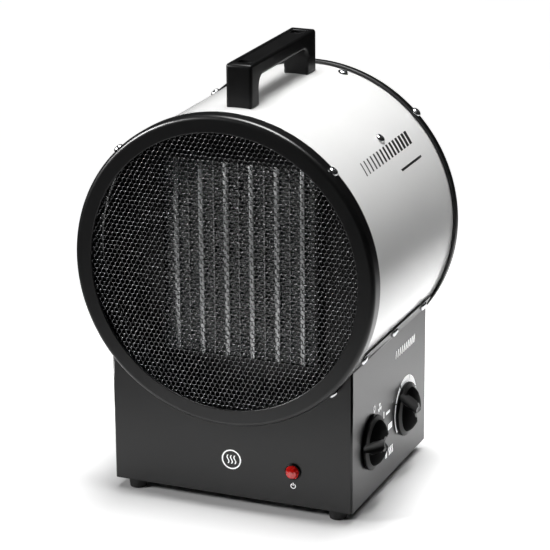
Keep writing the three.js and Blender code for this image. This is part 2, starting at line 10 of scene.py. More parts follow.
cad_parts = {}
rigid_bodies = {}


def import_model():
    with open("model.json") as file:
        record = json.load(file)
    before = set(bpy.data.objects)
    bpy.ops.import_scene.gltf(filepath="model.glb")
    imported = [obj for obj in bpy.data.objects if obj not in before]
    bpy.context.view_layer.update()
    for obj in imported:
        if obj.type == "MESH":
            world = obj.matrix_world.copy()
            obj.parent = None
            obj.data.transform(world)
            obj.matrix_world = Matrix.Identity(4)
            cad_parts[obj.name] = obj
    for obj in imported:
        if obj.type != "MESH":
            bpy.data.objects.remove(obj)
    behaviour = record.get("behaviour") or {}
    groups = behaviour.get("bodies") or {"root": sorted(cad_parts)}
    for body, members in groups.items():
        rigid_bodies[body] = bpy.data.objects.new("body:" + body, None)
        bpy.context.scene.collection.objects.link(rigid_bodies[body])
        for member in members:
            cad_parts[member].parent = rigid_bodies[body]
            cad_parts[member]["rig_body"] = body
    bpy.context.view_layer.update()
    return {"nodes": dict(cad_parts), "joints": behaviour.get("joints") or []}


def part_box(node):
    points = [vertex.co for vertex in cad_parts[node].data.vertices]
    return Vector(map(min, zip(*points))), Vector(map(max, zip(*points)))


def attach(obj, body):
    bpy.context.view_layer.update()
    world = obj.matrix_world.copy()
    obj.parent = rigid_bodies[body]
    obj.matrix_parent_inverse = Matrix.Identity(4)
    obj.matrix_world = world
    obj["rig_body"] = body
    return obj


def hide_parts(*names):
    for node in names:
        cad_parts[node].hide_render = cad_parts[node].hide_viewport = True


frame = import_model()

bl_info = {
    "name": "Ceramic Space Heater",
    "version": (1, 0, 0),
    "blender": (4, 5, 0),
    "location": "View3D > Sidebar > Heater",
    "description": "Builds the visible pieces of a drum-shaped ceramic heater round its frame",
    "category": "Add Mesh",
}

# ---- places taken from the frame ----

RING_LOW, RING_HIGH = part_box("front_ring")
REAR_RING_LOW, REAR_RING_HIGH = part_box("rear_ring")
DRUM_LOW, DRUM_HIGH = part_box("drum_shell")
GUARD_LOW, GUARD_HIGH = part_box("front_mesh_guard")
WIRE_LOW, WIRE_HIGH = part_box("rear_wire_guard")
WRAP_LOW, WRAP_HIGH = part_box("base_wrap")
HANDLE_LOW, HANDLE_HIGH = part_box("handle")
BLOCK_LOW, BLOCK_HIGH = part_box("heater_frame")
REAR_PANEL_LOW, REAR_PANEL_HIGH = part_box("base_rear_panel")

AXIS_HEIGHT = (RING_LOW.z + RING_HIGH.z) / 2
RING_RADIUS = (RING_HIGH.x - RING_LOW.x) / 2
DRUM_RADIUS = (DRUM_HIGH.x - DRUM_LOW.x) / 2
JOINT_AT = {joint["name"]: Vector(joint["pos_m"]) for joint in frame["joints"]}
PANEL_X = JOINT_AT["selector_turn"].x
BODY_OF = {name: piece["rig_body"] for name, piece in frame["nodes"].items()}

# Turns a piece modelled about local Z so that its axis is the drum's.
DRUM_PLACE = Matrix.Translation((0, 0, AXIS_HEIGHT)) @ Matrix.Rotation(math.radians(-90), 4, "X")

# Local X, Y and Z become Y, Z and X.
SIDEWAYS = Matrix(((0, 0, 1, 0), (1, 0, 0, 0), (0, 1, 0, 0), (0, 0, 0, 1)))


def middle_of(name):
    """The middle of a frame node's box."""
    low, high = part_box(name)
    return (low + high) / 2


def nodes_with(word):
    """The frame's nodes that have a word in their name, in order."""
    return sorted(name for name in frame["nodes"] if word in name)


# ---- sizes and colours ----

def length(name, description, default):
    return FloatProperty(name=name, description=description, default=default, min=0, unit="LENGTH")


def colour(name, description, default):
    return FloatVectorProperty(
        name=name, description=description, default=default, size=3, min=0, max=1, subtype="COLOR"
    )


class HeaterSizes(PropertyGroup):
    """Sizes of the details that the frame leaves open."""

    ring_opening: length("Ring opening", "Radius of the opening in both end rings", 0.129)
    ring_edge: length("Ring edge", "Radius of the rounded outer edge of an end ring", 0.0042)
    ring_sheet: length("Ring sheet", "Thickness of the flat face of an end ring", 0.0023)
    cell_pitch: length("Cell pitch", "Distance between openings in the front mesh", 0.00462)
    cell_wall: length("Cell wall", "Width of a strand of the front mesh", 0.00082)
    wire: length("Wire", "Diameter of the rear guard's wires", 0.0024)
    wire_pitch: length("Wire pitch", "Distance between the rear guard's rings", 0.013)
    sheet: length("Sheet", "Thickness of the base's steel", 0.0012)
    bend: length("Bend", "Outside radius of the base's bends", 0.0018)
    flange_width: length("Flange width", "Width of the flange that meets the drum", 0.011)
    flange_tilt: FloatProperty(
        name="Flange tilt", description="Lean of the flange from upright",
        default=math.radians(28), unit="ROTATION",
    )
    handle_edge: length("Handle edge", "Radius along the handle's edges", 0.0026)
    fold_pitch: length("Fold pitch", "Height of one fold of a heating fin", 0.0017)
    fin_sheet: length("Fin sheet", "Thickness of a heating fin", 0.00028)
    ink: length("Ink", "Height of a printed mark above its surface", 0.00008)
    round_steps: IntProperty(
        name="Round steps", description="Facets round the drum and its rings", default=192, min=24
    )


class HeaterColours(PropertyGroup):
    """Base colours of the finishes."""

    black_coat: colour("Black coat", "Satin black powder coat", (0.0025, 0.0025, 0.0027))
    white_coat: colour("White coat", "Semi-gloss white powder coat", (0.64, 0.64, 0.635))
    mesh: colour("Mesh", "Coated steel of the front mesh", (0.13, 0.13, 0.133))
    plastic: colour("Plastic", "Black moulded plastic", (0.0020, 0.0020, 0.0021))
    rubber: colour("Rubber", "Black rubber of the feet", (0.012, 0.012, 0.012))
    lamp: colour("Lamp", "Red lens of the pilot lamp", (0.62, 0.006, 0.004))
    cream: colour("Cream plastic", "Insulating plastic inside", (0.72, 0.68, 0.58))
    zinc: colour("Zinc", "Bright plated screws", (0.78, 0.79, 0.80))
    aluminium: colour("Aluminium", "Rows, fins and fan", (0.84, 0.845, 0.85))
    motor: colour("Motor", "Motor housing", (0.10, 0.105, 0.11))
    white_ink_and_glow: colour("White ink with painted glow", "Marks printed on black", (0.85, 0.85, 0.85))
    black_ink: colour("Black ink", "Marks printed on white", (0.008, 0.008, 0.008))


def sizes():
    return bpy.context.scene.heater_sizes


# ---- finishes ----

class Socket:
    """One output of a finish's nodes; arithmetic on it adds Math nodes."""

    def __init__(self, finish, socket):
        self.finish = finish
        self.socket = socket

    def maths(self, operation, *values):
        return self.finish.node("Math", {"operation": operation}, dict(enumerate(values)))

    def __add__(self, other):
        return self.maths("ADD", self, other)

    def __sub__(self, other):
        return self.maths("SUBTRACT", self, other)

    def __rsub__(self, other):
        return self.maths("SUBTRACT", other, self)

    def __mul__(self, other):
        return self.maths("MULTIPLY", self, other)

    __radd__ = __add__
    __rmul__ = __mul__


class Finish:
    """A material: its shader's constants, and short calls for the nodes that vary over it."""

    def __init__(self, name, **constants):
        self.material = bpy.data.materials.new(name)
        self.material.use_nodes = True
        self.tree = self.material.node_tree
        self.shader = self.tree.nodes["Principled BSDF"]
        self.where = self.node("TexCoord", {}, {}, "Object")
        for key, value in constants.items():
            self.shader.inputs[key.replace("_", " ")].default_value = value

    def node(self, kind, settings, values, output=0):
        node = self.tree.nodes.new("ShaderNode" + kind)
        for key, value in settings.items():
            setattr(node, key, value)
        for key, value in values.items():
            self.feed(node.inputs[key], value)
        return Socket(self, node.outputs[output])

    def feed(self, socket, value):
        if isinstance(value, Socket):
            self.tree.links.new(value.socket, socket)
        else:
            socket.default_value = value

    def set(self, key, value):
        self.feed(self.shader.inputs[key], value)

    def stretched(self, scale):
        return self.node("Mapping", {}, {"Vector": self.where, "Scale": scale})

    def noise(self, scale, detail=3, where=None):
        inputs = {"Vector": where or self.where, "Scale": scale, "Detail": detail}
        return self.node("TexNoise", {}, inputs)

    def mask(self, value, low, high):
        return self.node("MapRange", {}, {"Value": value, "From Min": low, "From Max": high})

    def blend(self, factor, first, second):
        inputs = {0: factor, 6: (*first, 1), 7: (*second, 1)}
        return self.node("Mix", {"data_type": "RGBA"}, inputs, 2)

    def bump(self, height, distance, strength=1.0):
        inputs = {"Height": height, "Distance": distance, "Strength": strength}
        self.set("Normal", self.node("Bump", {}, inputs))


def shade(base, factor):
    return [min(1, part * factor) for part in base]


def powder_coat(name, base, roughness, **constants):
    """Sprayed coat: fine orange peel, with broad soft changes of gloss."""
    finish = Finish(name, IOR=1.5, **constants)
    broad = finish.noise(14, 2)
    peel = finish.noise(900, 2)
    finish.set("Base Color", finish.blend(broad, shade(base, 0.97), shade(base, 1.03)))
    finish.set("Roughness", roughness - 0.02 + broad * 0.02 + peel * 0.03)
    finish.bump(peel, 0.00004, 0.5)
    return finish.material


def mesh_coat(base):
    """Dipped coat of the pressed mesh, thicker and glossier at the crossings."""
    finish = Finish("Mesh coat", Metallic=1.0)
    pool = finish.noise(420, 2)
    finish.set("Base Color", finish.blend(pool, shade(base, 0.8), shade(base, 1.3)))
    finish.set("Roughness", 0.13 + pool * 0.10)
    finish.bump(pool, 0.00006, 0.4)
    return finish.material


def moulded(name, base, roughness, grain=0.00005, shine=0.22):
    """Moulded plastic: spark-eroded grain with slightly shinier handled places."""
    finish = Finish(name, IOR=1.47, Specular_IOR_Level=shine)
    fine = finish.noise(2600, 2)
    broad = finish.noise(40, 3)
    finish.set("Base Color", finish.blend(fine, shade(base, 0.8), shade(base, 1.25)))
    finish.set("Roughness", roughness - 0.05 + broad * 0.1 + fine * 0.05)
    finish.bump(fine, grain, 0.6)
    return finish.material


def rubber(base):
    finish = Finish("Foot rubber", IOR=1.5)
    fine = finish.noise(1500, 3)
    finish.set("Base Color", finish.blend(fine, shade(base, 0.7), shade(base, 1.6)))
    finish.set("Roughness", 0.68 + fine * 0.2)
    finish.bump(fine, 0.00008, 0.7)
    return finish.material


def lens(base):
    """Red moulded lens, deeper where the facets are thick."""
    finish = Finish("Red lens", IOR=1.49, Coat_Weight=1.0, Coat_Roughness=0.03, Specular_IOR_Level=0.6)
    depth = finish.noise(500, 2)
    finish.set("Base Color", finish.blend(depth, shade(base, 0.55), base))
    finish.set("Roughness", 0.08 + depth * 0.12)
    finish.set("Emission Color", finish.blend(depth, (0.25, 0, 0), (0.6, 0.01, 0.005)))
    finish.set("Emission Strength", 0.14)
    return finish.material


def metal(name, base, roughness, scale, spread=0.12, depth=0.00001):
    """Bare or plated metal with fine drawn lines; scale stretches the lines along an axis."""
    finish = Finish(name, Metallic=1.0)
    lines = finish.noise(1, 4, finish.stretched(scale))
    broad = finish.noise(60, 3)
    finish.set("Base Color", finish.blend(broad, shade(base, 0.82), shade(base, 1.04)))
    finish.set("Roughness", roughness - spread / 2 + lines * spread + broad * 0.08)
    finish.bump(lines, depth, 0.5)
    return finish.material


def ink(name, base):
    """Screen-printed ink with a faint dry grain, and a painted glow that keeps light inks bright in the
    shade.
    """
    finish = Finish(name, IOR=1.45)
    grain = finish.noise(1800, 2)
    # Painted glow: the ink's grained colour is also its emission colour.
    for part in ("Base Color", "Emission Color"):
        finish.set(part, finish.blend(grain, shade(base, 0.9), base))
    finish.set("Emission Strength", 0.45)
    finish.set("Roughness", 0.42 + grain * 0.12)
    return finish.material


FINISHES = {}


def finish_called(name):
    """The named finish, made once."""
    if not FINISHES:
        shades = bpy.context.scene.heater_colours
        FINISHES.update({
            "black coat": powder_coat("Black powder coat", shades.black_coat, 0.30),
            "white coat": powder_coat(
                "White powder coat", shades.white_coat, 0.30, Coat_Weight=0.7, Coat_Roughness=0.08
            ),
            "mesh coat": mesh_coat(shades.mesh),
            "black plastic": moulded("Black plastic", shades.plastic, 0.34),
            # Painted shade: the knob lobes' matt grip is a copy of the black plastic at half its colour that
            # reflects almost nothing.
            "matt grip with painted shade": moulded("Matt grip with painted shade", shade(shades.plastic, 0.5), 0.7, 0.00003, 0.03),
            "cream plastic": moulded("Cream plastic", shades.cream, 0.5),
            "rubber": rubber(shades.rubber),
            "red lens": lens(shades.lamp),
            "bright zinc": metal("Bright zinc", shades.zinc, 0.2, (900, 900, 900), 0.08),
            "zinc steel": metal("Zinc plated steel", shade(shades.zinc, 0.8), 0.36, (500, 40, 500)),
            "rows": metal("Row aluminium", shades.aluminium, 0.36, (1500, 1500, 60), 0.2, 0.00004),
            "fins": metal("Fin aluminium", shade(shades.aluminium, 0.62), 0.42, (700, 700, 2000), 0.2),
            "fan": metal("Fan aluminium", shade(shades.aluminium, 0.85), 0.38, (60, 900, 60)),
            "motor": metal("Motor steel", shades.motor, 0.45, (300, 60, 300)),
            "white ink with painted glow": ink("White ink with painted glow", shades.white_ink_and_glow),
            "black ink": ink("Black ink", shades.black_ink),
        })
    return FINISHES[name]


# ---- mesh helpers ----

def as_mesh(name, bm):
    mesh = bpy.data.meshes.new(name)
    bm.to_mesh(mesh)
    bm.free()
    return mesh


def in_scene(name, data):
    made = bpy.data.objects.new(name, data)
    bpy.context.scene.collection.objects.link(made)
    return made


def placed(bm, place):
    bm.transform(place)
    return bm


def closed_up(bm):
    """Merges points that coincide and turns the faces outwards."""
    bmesh.ops.remove_doubles(bm, verts=bm.verts, dist=1e-7)
    bmesh.ops.recalc_face_normals(bm, faces=bm.faces)
    return bm


def piece(name, bm, look, replaces=(), body="housing", crease=32):
    """Makes a finished piece from a bmesh that is already in place."""
    made = in_scene(name, as_mesh(name, closed_up(bm)))
    made.data.materials.append(finish_called(look))
    made.data.shade_smooth()
    made.data.set_sharp_from_angle(angle=math.radians(crease))
    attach(made, body)
    if replaces:
        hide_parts(*replaces)
    return made


def level(made, area, along=0.0):
    """Shades faces above an area flat where they face along Y by a measure or more.

    Rounded edges beside such faces would otherwise tilt their light.
    """
    for side in made.data.polygons:
        if side.area > area and abs(side.normal.y) >= along:
            side.use_smooth = False
    return made


def carved(bm, *cutters):
    """The bmesh with each cutter's volume taken away."""
    body = in_scene("carved", as_mesh("carved", bm))
    tools = [in_scene("cutter", as_mesh("cutter", cutter)) for cutter in cutters]
    for tool in tools:
        cut = body.modifiers.new("Cut", "BOOLEAN")
        cut.operation = "DIFFERENCE"
        cut.object = tool
    result = bmesh.new()
    result.from_object(body, bpy.context.evaluated_depsgraph_get())
    for spare in (body, *tools):
        bpy.data.meshes.remove(spare.data)
    return result


def joined(*parts):
    """One bmesh holding several."""
    whole = bmesh.new()
    for part in parts:
        spare = as_mesh("part", part)
        whole.from_mesh(spare)
        bpy.data.meshes.remove(spare)
    return whole


def arc(centre, radius, start, end, count):
    """Points along an arc in the outline's plane, with angles in degrees."""
    points = []
    for i in range(count + 1):
        angle = math.radians(start + (end - start) * i / count)
        points.append((centre[0] + radius * math.cos(angle), centre[1] + radius * math.sin(angle)))
    return points


def spun(outline, steps, closed=False):
    """Turns (radius, height) points about local Z."""
    bm = bmesh.new()
    points = [bm.verts.new((radius, 0, height)) for radius, height in outline]
    pairs = list(zip(points, points[1:]))
    if closed:
        pairs.append((points[-1], points[0]))
    edges = [bm.edges.new(pair) for pair in pairs]
    bmesh.ops.spin(
        bm, geom=points + edges, cent=(0, 0, 0), axis=(0, 0, 1),
        angle=2 * math.pi, steps=steps, use_merge=True,
    )
    return closed_up(bm)


def tube(inner, outer, start, end, steps):
    """A plain tube about local Z."""
    return spun([(inner, start), (outer, start), (outer, end), (inner, end)], steps, closed=True)


def block(low, high, edge=0.0, segments=2):
    """A box between two corners with its edges rounded."""
    low, high = Vector(low), Vector(high)
    bm = bmesh.new()
    bmesh.ops.create_cube(bm, size=1)
    bmesh.ops.scale(bm, vec=high - low, verts=bm.verts)
    bmesh.ops.translate(bm, vec=(low + high) / 2, verts=bm.verts)
    if edge:
        rounded(bm, bm.edges, edge, segments)
    return bm


def rounded(bm, edges, radius, segments=3):
    bmesh.ops.bevel(
        bm, geom=list(edges), offset=radius, offset_type="OFFSET", affect="EDGES",
        segments=segments, profile=0.5, material=-1, clamp_overlap=True,
    )


def rod(radius, start, end, steps=16):
    """A round bar between two points."""
    start, end = Vector(start), Vector(end)
    along = end - start
    bm = bmesh.new()
    bmesh.ops.create_cone(
        bm, cap_ends=True, segments=steps, radius1=radius, radius2=radius, depth=along.length
    )
    turn = along.to_track_quat("Z", "Y").to_matrix().to_4x4()
    return placed(bm, Matrix.Translation((start + end) / 2) @ turn)


def flat_shape(points):
    """A face in the local XY plane."""
    bm = bmesh.new()
    bm.faces.new([bm.verts.new((x, y, 0)) for x, y in points])
    return bm


def raised(bm, height):
    """Gives a flat shape a thickness upwards."""
    made = bmesh.ops.extrude_face_region(bm, geom=bm.faces[:])
    top = [item for item in made["geom"] if isinstance(item, bmesh.types.BMVert)]
    bmesh.ops.translate(bm, vec=(0, 0, height), verts=top)
    return bm


def facing(direction, at, roll=0.0):
    """Stands local Z along a direction, at a point."""
    turn = Vector(direction).to_track_quat("Z", "Y").to_matrix().to_4x4()
    return Matrix.Translation(at) @ turn @ Matrix.Rotation(roll, 4, "Z")


# ---- drum ----

def end_ring(face, depth, sign):
    """An end ring with a rounded edge; its face is at y = face and sign points into the drum."""
    size = sizes()
    edge, lip, sheet = size.ring_edge, 0.0008, size.ring_sheet
    collar = DRUM_RADIUS + 0.0004
    outline = [
        (size.ring_opening, sheet),
        *arc((size.ring_opening + lip, lip), lip, 180, 270, 3),
        *arc((RING_RADIUS - edge, edge), edge, 270, 360, 8),
        (RING_RADIUS, depth - 0.0005),
        (RING_RADIUS - 0.0005, depth),
        (collar, depth),
        (collar, sheet),
    ]
    along = [(radius, face + sign * inward) for radius, inward in outline]
    return placed(spun(along, size.round_steps, closed=True), DRUM_PLACE)


def drum_tube():
    """The rolled drum as a plain tube, open at both ends."""
    wall = 0.001
    drum = tube(DRUM_RADIUS - wall, DRUM_RADIUS, DRUM_LOW.y, DRUM_HIGH.y, sizes().round_steps)
    return placed(drum, DRUM_PLACE)


def mesh_cell():
    """One opening of the pressed mesh about local Z: its six strands' near halves, with a crown."""
    size = sizes()
    outer = size.cell_pitch / math.sqrt(3)
    hole = (size.cell_pitch - size.cell_wall) / math.sqrt(3)
    crown = (outer + hole) / 2
    front, depth = GUARD_LOW.y, GUARD_HIGH.y - GUARD_LOW.y
    rings = ((outer, 0), (crown, 0.13), (hole, 0.42), (hole, 1), (outer, 1))
    cell = spun([(radius, front + inward * depth) for radius, inward in rings], 6)
    return placed(cell, Matrix.Rotation(math.radians(90), 4, "Z"))


def mesh_net(reach):
    """Hexagonal openings in level rows, as far as a radius from the drum's axis."""
    pitch = sizes().cell_pitch
    rise = pitch * math.sqrt(3) / 2
    cell = as_mesh("cell", mesh_cell())
    net = bmesh.new()
    here = Vector((0, 0, 0))
    rows = int(reach / rise)
    for row in range(-rows, rows + 1):
        shift = pitch / 2 if row % 2 else 0
        half = math.sqrt(reach ** 2 - (row * rise) ** 2)
        columns = int(half / pitch)
        for column in range(-columns, columns + 1):
            there = Vector((column * pitch + shift, row * rise, 0))
            cell.transform(Matrix.Translation(there - here))
            net.from_mesh(cell)
            here = there
    bpy.data.meshes.remove(cell)
    bmesh.ops.remove_doubles(net, verts=net.verts, dist=2e-5)
    return placed(net, DRUM_PLACE)


def handle():
    """Bridge handle: bent side outline, rounded edges, and a long shallow recess on top."""
    edge = sizes().handle_edge
    foot = AXIS_HEIGHT + DRUM_RADIUS - 0.0009
    front, rear, top = HANDLE_LOW.y, HANDLE_HIGH.y, HANDLE_HIGH.z
    grip, corner = 0.014, 0.009
    near, far = front + 0.0185, rear - 0.0205
    under = top - grip
    outline = [
        (front, foot), (near, foot),
        *arc((near + corner, under - corner), corner, 180, 90, 8),
        *arc((far - corner, under - corner), corner, 90, 0, 8),
        (far, foot), (rear, foot),
        *arc((rear - 0.003, top - 0.003), 0.003, 0, 90, 4),
        *arc((front + 0.003, top - 0.003), 0.003, 90, 180, 4),
    ]
    half = (HANDLE_HIGH.x - HANDLE_LOW.x) / 2
    bm = raised(flat_shape(outline), 2 * half)
    bmesh.ops.recalc_face_normals(bm, faces=bm.faces)
    sides = [face for face in bm.faces if len(face.verts) > 8]
    rims = {line for face in sides for line in face.edges}
    rounded(bm, rims, edge, 4)
    bm.transform(Matrix.Translation((-half, 0, 0)) @ SIDEWAYS)
    # The long tray, then a pocket in each end of it: depth, margin, start and end.
    recesses = (
        (0.0009, 0.0045, front + 0.0075, rear - 0.0075),
        (0.004, 0.006, front + 0.009, front + 0.020),
        (0.004, 0.006, rear - 0.020, rear - 0.009),
    )
    clear = top + 0.01
    return carved(bm, *(
        block((margin - half, start, top - depth), (half - margin, end, clear), 0.0016, 3)
        for depth, margin, start, end in recesses
    ))


class HEATER_OT_end_rings(Operator):
    """Adds the two black end rings"""

    bl_idname = "heater.end_rings"
    bl_label = "End rings"

    def execute(self, context):
        front = end_ring(RING_LOW.y, RING_HIGH.y - RING_LOW.y, 1)
        rear = end_ring(REAR_RING_HIGH.y, REAR_RING_HIGH.y - REAR_RING_LOW.y, -1)
        for name, bm in (("front_ring", front), ("rear_ring", rear)):
            level(piece(name + "_pressed", bm, "black coat", [name]), 0.00001, 0.999)
        return {"FINISHED"}


class HEATER_OT_drum(Operator):
    """Adds the white drum"""

    bl_idname = "heater.drum"
    bl_label = "Drum"

    def execute(self, context):
        drum = piece("drum_rolled", drum_tube(), "white coat", ["drum_shell"])
        # The faces that look into the drum take the black coat, so the drum is dark inside.
        drum.data.materials.append(finish_called("black coat"))
        for side in drum.data.polygons:
            out = Vector((side.center.x, 0, side.center.z - AXIS_HEIGHT))
            if out.dot(side.normal) < -0.5 * out.length:
                side.material_index = 1
        return {"FINISHED"}


class HEATER_OT_mesh_guard(Operator):
    """Adds the hexagonal mesh at the front and its flat rim"""

    bl_idname = "heater.mesh_guard"
    bl_label = "Mesh guard"

    def execute(self, context):
        opening = sizes().ring_opening
        piece("mesh_net", mesh_net(opening + 0.003), "mesh coat", ["front_mesh_guard"], crease=80)
        outer = (GUARD_HIGH.x - GUARD_LOW.x) / 2
        rim = tube(opening + 0.0005, outer, GUARD_LOW.y, GUARD_HIGH.y, sizes().round_steps)
        piece("mesh_rim", placed(rim, DRUM_PLACE), "mesh coat")
        return {"FINISHED"}


class HEATER_OT_handle(Operator):
    """Adds the bridge handle"""

    bl_idname = "heater.handle"
    bl_label = "Handle"

    def execute(self, context):
        level(piece("handle_moulded", handle(), "black plastic", ["handle"]), 0.0002)
        return {"FINISHED"}


class HEATER_OT_wire_guard(Operator):
    """Adds the welded wire guard at the rear"""

    bl_idname = "heater.wire_guard"
    bl_label = "Wire guard"

    def execute(self, context):
        size = sizes()
        middle = (WIRE_LOW.y + WIRE_HIGH.y) / 2
        half = size.wire / 2
        smallest, largest = 0.036, (WIRE_HIGH.x - WIRE_LOW.x) / 2 - half
        count = math.ceil((size.ring_opening - smallest) / size.wire_pitch)
        radii = [smallest + i * size.wire_pitch for i in range(count)] + [largest]
        parts = [spun(arc((radius, middle), half, 0, 345, 11), 96, closed=True) for radius in radii]
        dish = [
            (0, middle - half), (0.0235, middle - half), (0.0245, middle - 0.4 * half),
            (0.0245, middle + 0.4 * half), (0.0225, middle + half), (0, middle + 1.2 * half),
        ]
        parts.append(spun(dish, 64))
        for angle in (45, 135):
            out = Vector((math.cos(math.radians(angle)), math.sin(math.radians(angle)), 0)) * largest
            lift = Vector((0, 0, middle - 0.9 * half))
            parts.append(rod(half, lift - out, lift + out, 12))
        guard = placed(joined(*parts), DRUM_PLACE)
        piece("wire_guard_welded", guard, "mesh coat", ["rear_wire_guard"])
        return {"FINISHED"}


# ---- heating block ----

def folded_fin(left, right, low, high, front, back):
    """A thin ribbon folded to and fro between two upright plates."""
    size = sizes()
    folds = round((high - low) / size.fold_pitch)
    bm = bmesh.new()
    points = []
    for i in range(folds + 1):
        x = left if i % 2 else right
        points.append(bm.verts.new((x, front, low + (high - low) * i / folds)))
    edges = [bm.edges.new(pair) for pair in zip(points, points[1:])]
    grown = bmesh.ops.extrude_edge_only(bm, edges=edges)
    moved = [item for item in grown["geom"] if isinstance(item, bmesh.types.BMVert)]
    bmesh.ops.translate(bm, vec=(0, back - front, 0), verts=moved)
    bmesh.ops.recalc_face_normals(bm, faces=bm.faces)
    bmesh.ops.solidify(bm, geom=bm.faces[:], thickness=size.fin_sheet)
    return bm


class HEATER_OT_heating_block(Operator):
    """Adds the ceramic rows and the folded fins between them"""

    bl_idname = "heater.heating_block"
    bl_label = "Heating block"

    def execute(self, context):
        rows = nodes_with("ceramic_strip")
        packs = nodes_with("fin_pack")
        front = BLOCK_LOW.y
        for name in rows:
            low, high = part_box(name)
            row = block((low.x, front + 0.0012, low.z), (high.x, high.y - 0.012, high.z), 0.0009, 3)
            middle = (low.x + high.x) / 2
            half = 0.0004
            tab_low = (middle - half, high.y - 0.013, high.z - 0.014)
            tab = block(tab_low, (middle + half, high.y, high.z - 0.006))
            piece(name + "_row", joined(row, tab), "rows", [name])
        for name in packs:
            low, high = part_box(name)
            middle = (low.x + high.x) / 2
            single = high.x - low.x < 0.015
            plate = 0.0005
            spans = [(low.x, high.x)] if single else [(low.x, middle - plate), (middle + plate, high.x)]
            parts = [folded_fin(*span, low.z, high.z, front + 0.003, high.y) for span in spans]
            if not single:
                parts.append(block((middle - plate, front + 0.002, low.z), (middle + plate, high.y, high.z)))
            piece(name + "_folded", joined(*parts), "fins", [name], crease=20)
        return {"FINISHED"}


# ---- fan ----

def fan_blade(start):
    """A curved blade, wider and flatter towards its tip."""
    hub, tip = 0.023, 0.132
    middle = JOINT_AT["fan_spin"].y
    bm = bmesh.new()
    bmesh.ops.create_grid(bm, x_segments=14, y_segments=10, size=0.5)
    for vert in bm.verts:
        out, across = vert.co.x + 0.5, vert.co.y
        pitch = math.radians(42 - 18 * out)
        chord = 0.034 + 0.040 * math.sqrt(out)
        # The tip's corners are rounded off.
        chord *= 1 - 0.16 * max(0, (out - 0.8) / 0.2) ** 2
        radius = hub + (tip - hub) * out
        lift = 0.005 * (0.25 - across * across)
        along = across * chord * math.cos(pitch) - lift * math.sin(pitch)
        angle = start + along / radius
        height = middle + across * chord * math.sin(pitch) + lift * math.cos(pitch)
        vert.co = (radius * math.cos(angle), radius * math.sin(angle), height)
    bmesh.ops.solidify(bm, geom=bm.faces[:], thickness=0.0016)
    return bm


class HEATER_OT_fan(Operator):
    """Adds the fan's hub and blades"""

    bl_idname = "heater.fan"
    bl_label = "Fan"

    def execute(self, context):
        middle = JOINT_AT["fan_spin"].y
        hub = [
            (0.0043, middle - 0.014), (0.025, middle - 0.014), (0.026, middle - 0.013),
            (0.026, middle + 0.009), *arc((0.021, middle + 0.009), 0.005, 0, 90, 5),
            (0.011, middle + 0.014), (0.0105, middle + 0.0125), (0.0043, middle + 0.0125),
        ]
        blades = [fan_blade(math.radians(90 + 72 * i)) for i in range(5)]
        bm = joined(spun(hub, 64, closed=True), *blades)
        # The frame measures the blades' angle from +X towards +Z, and DRUM_PLACE turns the other way.
        bm.transform(DRUM_PLACE @ Matrix.Scale(-1, 4, (0, 1, 0)))
        piece("fan_pressed", bm, "fan", ["fan_blades"], body=BODY_OF["fan_blades"])
        return {"FINISHED"}


# ---- base ----

def wrap_sheet():
    """Front, sides and flanges as one thin bent sheet."""
    size = sizes()
    lean = Vector((math.sin(size.flange_tilt), 0, math.cos(size.flange_tilt))) * size.flange_width
    bend = WRAP_HIGH.z - lean.z
    front, rear, floor = WRAP_LOW.y, WRAP_HIGH.y, WRAP_LOW.z
    relief = 0.0024
    radius = DRUM_RADIUS + 0.0005
    drop = AXIS_HEIGHT - bend
    shoulder = math.sqrt(radius ** 2 - drop ** 2)
    start = math.degrees(math.atan2(-drop, shoulder))
    bm = bmesh.new()
    curve = arc((0, AXIS_HEIGHT), radius, start, -180 - start, 48)
    outline = [(-PANEL_X, floor), (PANEL_X, floor), (PANEL_X, bend), *curve, (-PANEL_X, bend)]
    corners = [bm.verts.new((x, front, z)) for x, z in outline]
    bm.faces.new(corners)
    for side, bottom, top in ((1, corners[1], corners[2]), (-1, corners[0], corners[-1])):
        x = side * PANEL_X
        notch = bm.verts.new((x, front + relief, bend))
        far_top = bm.verts.new((x, rear, bend))
        far_bottom = bm.verts.new((x, rear, floor))
        bm.faces.new([bottom, far_bottom, far_top, notch, top])
        out = Vector((side * lean.x, 0, lean.z))
        tips = [bm.verts.new(notch.co + out), bm.verts.new(far_top.co + out)]
        bm.faces.new([notch, far_top, tips[1], tips[0]])
    bmesh.ops.recalc_face_normals(bm, faces=bm.faces)
    outer = max(bm.faces, key=lambda face: face.calc_area())
    if outer.normal.y > 0 or outer.normal.y == 0 and outer.normal.x * outer.calc_center_median().x < 0:
        bmesh.ops.reverse_faces(bm, faces=bm.faces)
    bends = [line for line in bm.edges if len(line.link_faces) == 2]
    rounded(bm, bends, size.bend, 5)
    return bm


class HEATER_OT_base(Operator):
    """Adds the bent sheet that makes the base's front and sides"""

    bl_idname = "heater.base"
    bl_label = "Base"

    def execute(self, context):
        made = level(piece("base_wrap_bent", wrap_sheet(), "black coat", ["base_wrap"]), 0.001)
        thick = made.modifiers.new("Sheet", "SOLIDIFY")
        thick.thickness = sizes().sheet
        thick.offset = -1
        return {"FINISHED"}


class HEATER_OT_feet(Operator):
    """Adds the four rubber feet"""

    bl_idname = "heater.feet"
    bl_label = "Feet"

    def execute(self, context):
        for name in nodes_with("foot_"):
            low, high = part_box(name)
            top = high.z
            outline = [
                (0, 0.0006), (0.0035, 0.0006), (0.004, 0), (0.0069, 0),
                *arc((0.0069, 0.001), 0.001, 270, 350, 4),
                (0.0087, top - 0.0012), *arc((0.0079, top - 0.0010), 0.0008, 0, 90, 3), (0, top),
            ]
            middle = (low + high) / 2
            foot = placed(spun(outline, 40), Matrix.Translation((middle.x, middle.y, 0)))
            piece(name + "_moulded", foot, "rubber", [name])
        return {"FINISHED"}


